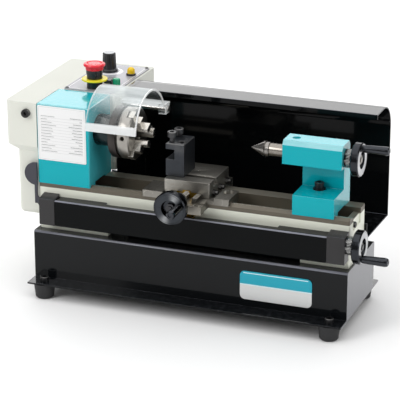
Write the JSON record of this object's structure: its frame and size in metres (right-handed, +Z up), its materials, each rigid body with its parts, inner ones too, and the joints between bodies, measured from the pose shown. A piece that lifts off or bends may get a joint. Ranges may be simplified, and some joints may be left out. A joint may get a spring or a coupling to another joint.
{
  "type": "metal lathe",
  "caption": "Small bench metal lathe: geared-down belt headstock with three-jaw chuck and guard, carriage, cross slide, tool post, tailstock and splash guard on a stand.",
  "frame": {"origin": "centre of the stand's footprint, on the surface that the rubber feet stand on", "axes": "+X along the bed from headstock to tailstock, +Y to the back of the machine, +Z up"},
  "size_m": [0.3873, 0.2261, 0.2159],
  "materials": {
    "black_paint": "gloss",
    "teal_paint": "gloss",
    "ivory_paint": "satin",
    "bed_iron": "ivory paint with ground ways",
    "rubber": "matte",
    "steel_screws": "satin",
    "black_screws": "black oxide",
    "bearing_steel": "ground",
    "dark_steel": "black oxide",
    "ground_steel": "ground",
    "machined_steel": "milled",
    "wheel_chrome": "polished",
    "tool_post_steel": "black oxide",
    "bracket_aluminium": "satin",
    "pulley_aluminium": "turned",
    "panel_aluminium": "brushed",
    "motor_iron": "satin",
    "brass_nut": "turned",
    "plate_print": "two-colour, no print",
    "label_print": "satin, no print",
    "black_plastic": "satin",
    "red_plastic": "gloss",
    "yellow_plastic": "gloss",
    "green_plastic": "gloss",
    "clear_plastic": "clear polycarbonate"
  },
  "bodies": {
    "base": {"base_stand": "black_paint", "rubber_feet": "rubber", "stand_bolts": "steel_screws", "nameplate": "plate_print", "bed": "bed_iron", "splash_guard": "black_paint", "headstock": "teal_paint", "data_label": "label_print", "spindle_bearings": "bearing_steel", "belt_cover": "ivory_paint", "cover_screws": "black_screws", "control_box": "ivory_paint", "control_panel": "panel_aluminium", "estop_base": "black_plastic", "estop_collar": "yellow_plastic", "switch_body": "black_plastic", "power_lamp": "yellow_plastic", "motor": "motor_iron", "drive_belt": "rubber", "leadscrew_cover": "black_paint", "leadscrew_brackets": "bracket_aluminium", "guard_hinge_rod": "ground_steel"},
    "spindle": {"spindle": "dark_steel", "spindle_pulley": "pulley_aluminium", "chuck_backplate": "dark_steel", "chuck_body": "ground_steel"},
    "motor_rotor": {"motor_pulley": "pulley_aluminium"},
    "jaw_1": {"chuck_jaw_1": "ground_steel"},
    "jaw_2": {"chuck_jaw_2": "ground_steel"},
    "jaw_3": {"chuck_jaw_3": "ground_steel"},
    "guard": {"chuck_guard": "clear_plastic"},
    "leadscrew_shaft": {"leadscrew": "ground_steel", "leadscrew_dial": "ground_steel", "leadscrew_handwheel": "wheel_chrome"},
    "leadscrew_grip": {"leadscrew_handle": "wheel_chrome"},
    "carriage": {"saddle": "machined_steel", "cross_screw_bearing": "machined_steel", "leadscrew_nut": "brass_nut"},
    "cross_shaft": {"cross_slide_screw": "ground_steel", "cross_slide_dial": "ground_steel", "cross_slide_handwheel": "wheel_chrome"},
    "cross_grip": {"cross_slide_handle": "wheel_chrome"},
    "cross_table": {"cross_slide": "machined_steel", "gib_screws": "black_screws", "cross_slide_nut": "brass_nut"},
    "tee_bolt": {"tool_post_bolt": "steel_screws"},
    "tool_holder": {"tool_post": "tool_post_steel", "tool_post_screws": "steel_screws"},
    "tailstock": {"tailstock_body": "teal_paint", "tailstock_lock_screw": "steel_screws"},
    "tail_quill": {"quill": "ground_steel", "dead_centre": "ground_steel"},
    "tail_shaft": {"tailstock_screw": "ground_steel", "tailstock_dial": "ground_steel", "tailstock_handwheel": "wheel_chrome"},
    "tail_grip": {"tailstock_handle": "wheel_chrome"},
    "stop_button": {"emergency_button": "red_plastic"},
    "start_button": {"green_button": "green_plastic"},
    "speed_dial": {"speed_knob": "black_plastic"},
    "lever": {"feed_lever": "black_paint"}
  },
  "joints": [
    {"name": "spindle_turn", "type": "hinge", "parent": "base", "child": "spindle", "pos_m": [-0.09, -0.0115, 0.1634], "axis": [1, 0, 0], "continuous": true},
    {"name": "motor_turn", "type": "hinge", "parent": "base", "child": "motor_rotor", "pos_m": [-0.169, 0.074, 0.15], "axis": [1, 0, 0], "continuous": true},
    {"name": "jaw_1_slide", "type": "slide", "parent": "spindle", "child": "jaw_1", "axis": [0, -0.4384, 0.8988], "range_m": [-0.0038, 0.0025]},
    {"name": "jaw_2_slide", "type": "slide", "parent": "spindle", "child": "jaw_2", "axis": [0, -0.5592, -0.829], "range_m": [-0.0038, 0.0025]},
    {"name": "jaw_3_slide", "type": "slide", "parent": "spindle", "child": "jaw_3", "axis": [0, 0.9976, -0.0698], "range_m": [-0.0038, 0.0025]},
    {"name": "guard_hinge", "type": "hinge", "parent": "base", "child": "guard", "pos_m": [-0.075, 0.036, 0.1755], "axis": [-1, 0, 0], "range_deg": [0, 55]},
    {"name": "leadscrew_turn", "type": "hinge", "parent": "base", "child": "leadscrew_shaft", "pos_m": [0.15, -0.0404, 0.0895], "axis": [1, 0, 0], "range_deg": [-3841, 10801]},
    {"name": "carriage_slide", "type": "slide", "parent": "base", "child": "carriage", "axis": [1, 0, 0], "range_m": [-0.016, 0.045]},
    {"name": "leadscrew_grip_spin", "type": "hinge", "parent": "leadscrew_shaft", "child": "leadscrew_grip", "pos_m": [0.18, -0.04623, 0.08017], "axis": [1, 0, 0], "continuous": true},
    {"name": "cross_screw_turn", "type": "hinge", "parent": "carriage", "child": "cross_shaft", "pos_m": [-0.0042, -0.055, 0.1166], "axis": [0, 1, 0], "range_deg": [-5761, 7921]},
    {"name": "cross_slide_travel", "type": "slide", "parent": "carriage", "child": "cross_table", "axis": [0, 1, 0], "range_m": [-0.016, 0.022]},
    {"name": "cross_grip_spin", "type": "hinge", "parent": "cross_shaft", "child": "cross_grip", "pos_m": [0.00614, -0.09, 0.12036], "axis": [0, 1, 0], "continuous": true},
    {"name": "tee_slot_slide", "type": "slide", "parent": "cross_table", "child": "tee_bolt", "axis": [1, 0, 0], "range_m": [-0.001, 0.022]},
    {"name": "tool_post_turn", "type": "hinge", "parent": "tee_bolt", "child": "tool_holder", "pos_m": [-0.0148, -0.016, 0.14], "axis": [0, 0, 1], "range_deg": [-30, 60]},
    {"name": "tailstock_slide", "type": "slide", "parent": "base", "child": "tailstock", "axis": [1, 0, 0], "range_m": [-0.045, 0.012]},
    {"name": "tailstock_wheel_turn", "type": "hinge", "parent": "tailstock", "child": "tail_shaft", "pos_m": [0.15, -0.0115, 0.1634], "axis": [1, 0, 0], "range_deg": [-10081, 1081]},
    {"name": "quill_slide", "type": "slide", "parent": "tailstock", "child": "tail_quill", "axis": [1, 0, 0], "range_m": [-0.028, 0.003]},
    {"name": "tailstock_grip_spin", "type": "hinge", "parent": "tail_shaft", "child": "tail_grip", "pos_m": [0.17, -0.01112, 0.17439], "axis": [1, 0, 0], "continuous": true},
    {"name": "stop_button_push", "type": "slide", "parent": "base", "child": "stop_button", "axis": [0, 0, -1], "range_m": [0, 0.004]},
    {"name": "start_button_push", "type": "slide", "parent": "base", "child": "start_button", "axis": [0, 0, -1], "range_m": [0, 0.0018], "stiffness_N_per_m": 120, "springref_m": -0.001},
    {"name": "speed_knob_turn", "type": "hinge", "parent": "base", "child": "speed_dial", "pos_m": [-0.1335, 0.088, 0.2], "axis": [0, 0, -1], "range_deg": [0, 280]},
    {"name": "feed_lever_swing", "type": "hinge", "parent": "base", "child": "lever", "pos_m": [-0.1545, -0.0355, 0.089], "axis": [0, -1, 0], "range_deg": [0, 22]}
  ],
  "couplings": [
    {"joint": "motor_turn", "follows": "spindle_turn", "ratio": 2.125},
    {"joint": "jaw_2_slide", "follows": "jaw_1_slide", "ratio": 1},
    {"joint": "jaw_3_slide", "follows": "jaw_1_slide", "ratio": 1},
    {"joint": "leadscrew_turn", "follows": "carriage_slide", "rad_per_m": 4188.8},
    {"joint": "cross_screw_turn", "follows": "cross_slide_travel", "rad_per_m": 6283.2},
    {"joint": "tailstock_wheel_turn", "follows": "quill_slide", "rad_per_m": 6283.2}
  ]
}
